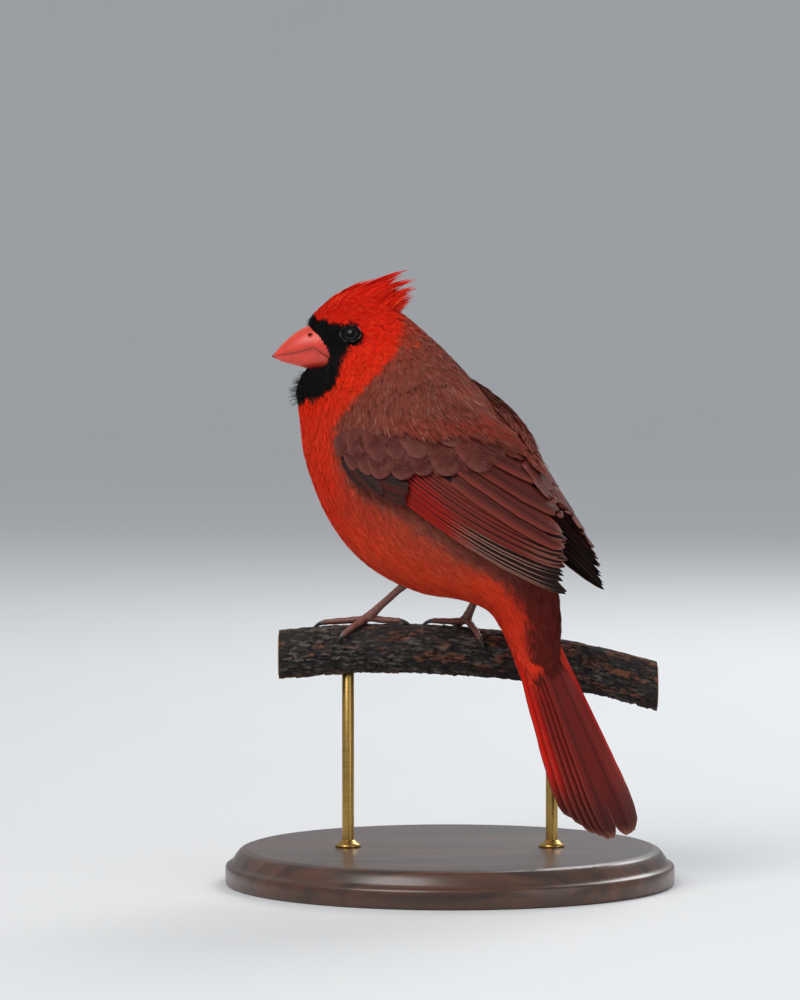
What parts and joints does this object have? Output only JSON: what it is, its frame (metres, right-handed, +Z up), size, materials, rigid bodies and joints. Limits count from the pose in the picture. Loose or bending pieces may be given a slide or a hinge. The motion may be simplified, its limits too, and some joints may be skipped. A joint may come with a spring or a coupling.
{
  "type": "male northern cardinal on a perch",
  "caption": "Life-size male northern cardinal, perched on a cut length of pine branch on a plain display stand.",
  "frame": {"origin": "centre of the underside of the round base, on the surface that it stands on", "axes": "+Z up; the bird looks along -X with its left side towards -Y; the perch runs along X"},
  "size_m": [0.15, 0.15, 0.2052],
  "materials": {
    "red_plumage": "matte, soft feathers",
    "wing_plumage": "matte, firm vanes",
    "tail_plumage": "matte, firm vanes",
    "bill_horn": "satin horn",
    "eye_glass": "polished",
    "leg_scales": "fine scales, satin",
    "claw_horn": "satin horn",
    "pine_bark": "rough flaking bark",
    "stand_wood": "oiled, satin",
    "stand_metal": "satin"
  },
  "bodies": {
    "root": {"head": "red_plumage", "neck": "red_plumage", "torso": "red_plumage", "rump": "red_plumage", "tail": "tail_plumage", "wing_left": "wing_plumage", "wing_right": "wing_plumage", "bill_upper": "bill_horn", "bill_lower": "bill_horn", "eye_left": "eye_glass", "eye_right": "eye_glass", "tarsus_left": "leg_scales", "tarsus_right": "leg_scales", "foot_left": "leg_scales", "foot_right": "leg_scales", "claw_left_inner": "claw_horn", "claw_left_middle": "claw_horn", "claw_left_outer": "claw_horn", "claw_left_hind": "claw_horn", "claw_right_inner": "claw_horn", "claw_right_middle": "claw_horn", "claw_right_outer": "claw_horn", "claw_right_hind": "claw_horn", "perch_branch": "pine_bark", "stand_base": "stand_wood", "stand_rod_left": "stand_metal", "stand_rod_right": "stand_metal"}
  },
  "joints": []
}
